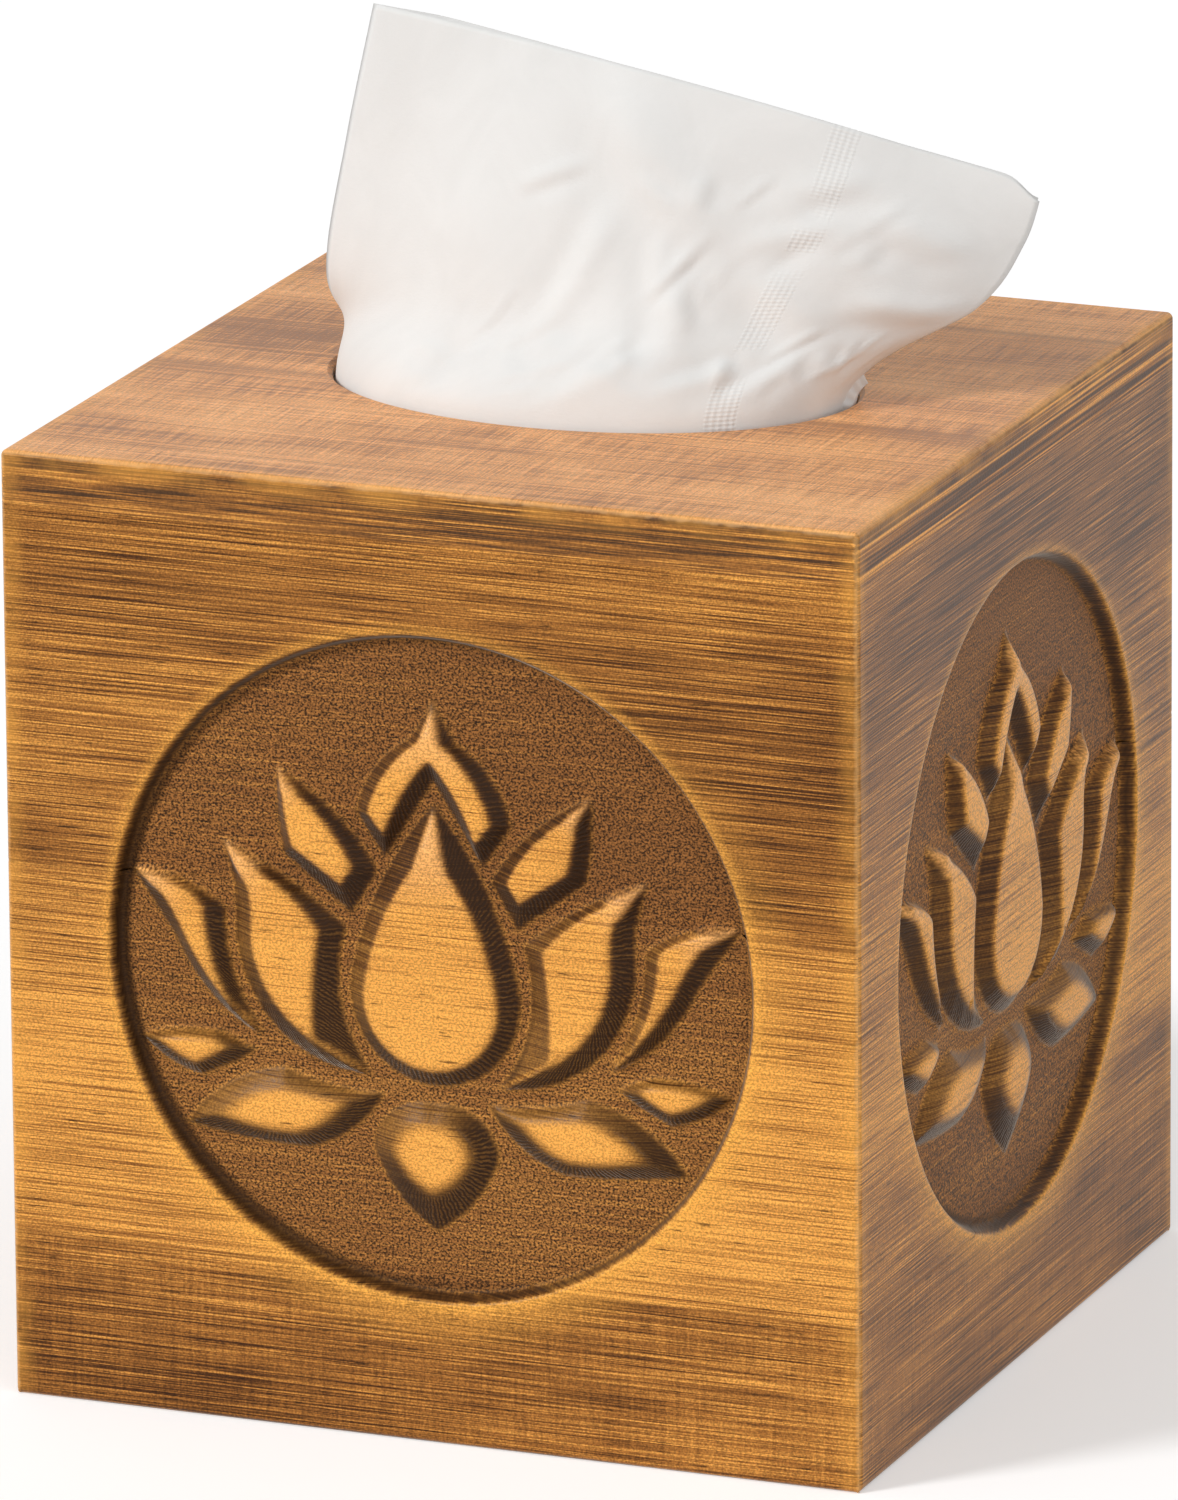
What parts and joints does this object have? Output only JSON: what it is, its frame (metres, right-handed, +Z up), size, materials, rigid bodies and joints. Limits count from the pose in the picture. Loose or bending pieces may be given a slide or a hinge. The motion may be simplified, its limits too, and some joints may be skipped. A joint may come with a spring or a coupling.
{
  "type": "tissue box cover",
  "caption": "Square wooden slip-over cover for a cube tissue carton, with a sunken lotus medallion carved on each side and an oval mouth that the tissue is drawn up through.",
  "frame": {"origin": "middle of the foot of the cover, on the surface that it stands on", "axes": "+X to the right and -Y to the front as the picture shows them, +Z up through the mouth"},
  "size_m": [0.135, 0.135, 0.2018],
  "materials": {
    "carved_wood": "satin",
    "top_wood": "satin",
    "spline_wood": "matte",
    "carton_card": "matte",
    "stacked_tissue": "matte",
    "tissue_paper": "matte"
  },
  "bodies": {
    "refill": {"refill_carton": "carton_card", "tissue_stack": "stacked_tissue"},
    "cover": {"front_lower_board": "carved_wood", "front_middle_board": "carved_wood", "front_upper_board": "carved_wood", "right_lower_board": "carved_wood", "right_middle_board": "carved_wood", "right_upper_board": "carved_wood", "back_lower_board": "carved_wood", "back_middle_board": "carved_wood", "back_upper_board": "carved_wood", "left_lower_board": "carved_wood", "left_middle_board": "carved_wood", "left_upper_board": "carved_wood", "top_front_board": "top_wood", "top_middle_board": "top_wood", "top_rear_board": "top_wood", "front_left_spline": "spline_wood", "front_right_spline": "spline_wood", "back_right_spline": "spline_wood", "back_left_spline": "spline_wood"},
    "tissue": {"drawn_tissue": "tissue_paper"}
  },
  "joints": [
    {"name": "cover_lift", "type": "slide", "parent": "refill", "child": "cover", "axis": [0, 0, 1], "range_m": [0, 0.15]},
    {"name": "tissue_pull", "type": "slide", "parent": "cover", "child": "tissue", "axis": [0, 0, 1], "range_m": [0, 0.13]}
  ]
}
